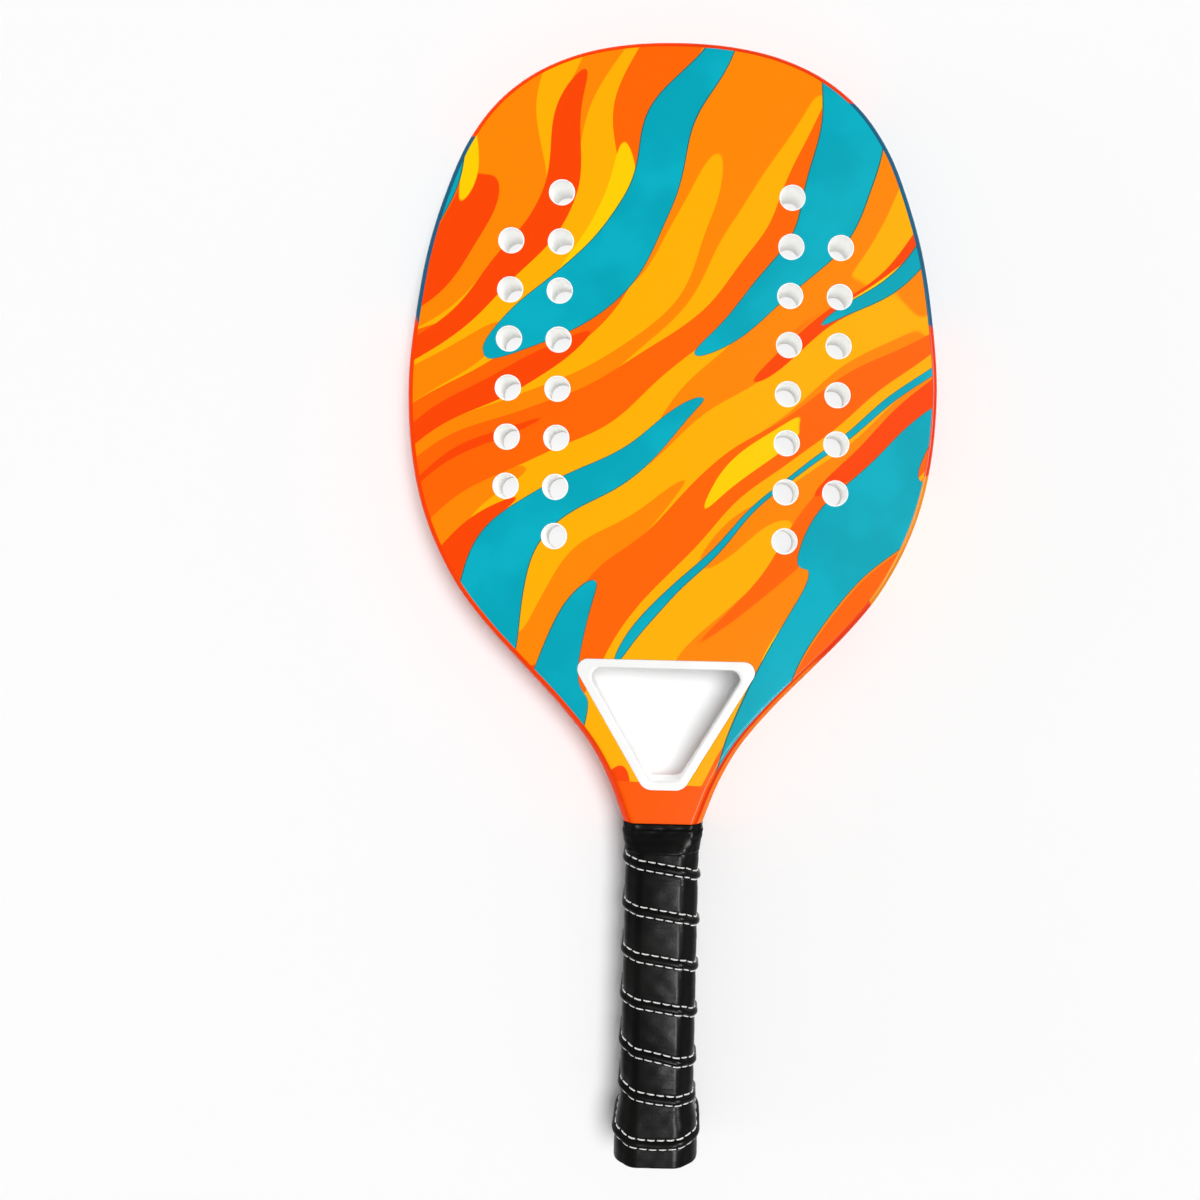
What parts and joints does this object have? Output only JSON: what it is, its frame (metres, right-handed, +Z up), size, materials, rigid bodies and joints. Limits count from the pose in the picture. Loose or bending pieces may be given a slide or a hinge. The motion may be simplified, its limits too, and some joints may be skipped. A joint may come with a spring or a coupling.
{
  "type": "beach tennis racket",
  "caption": "Perforated solid-faced paddle racket with a rounded head, a triangular throat opening and a short octagonal handle wound with a ribbed strap.",
  "frame": {"origin": "on the ground plane, below the middle of the racket's length and width, with the racket lying on its back and its mid-plane level", "axes": "+Z up out of the printed front face, +Y along the racket towards the crown of the head, +X to the right as seen from the front"},
  "size_m": [0.2278, 0.48, 0.0323],
  "materials": {
    "frame_lacquer": "clear lacquer over red-orange paint on fibre composite",
    "face_laminate": "clear lacquer over a printed pattern of orange, amber, yellow and turquoise bands",
    "core_foam": "white closed-cell foam with drilled holes",
    "throat_liner": "smooth white moulding",
    "handle_foam": "rigid foam",
    "handle_shell": "moulded foam shell",
    "butt_plastic": "fine matt black moulding",
    "collar_tape": "smooth black finishing band",
    "grip_leather": "soft black synthetic leather with white stitches"
  },
  "bodies": {
    "root": {"frame_tube": "frame_lacquer", "head_core": "core_foam", "front_face": "face_laminate", "rear_face": "face_laminate", "throat_yoke": "frame_lacquer", "throat_liner_front": "throat_liner", "throat_liner_rear": "throat_liner", "handle_filler": "handle_foam", "handle_shell_front": "handle_shell", "handle_shell_rear": "handle_shell", "butt_cap": "butt_plastic", "grip_collar": "collar_tape", "grip_strap": "grip_leather", "grip_rib": "grip_leather"}
  },
  "joints": []
}
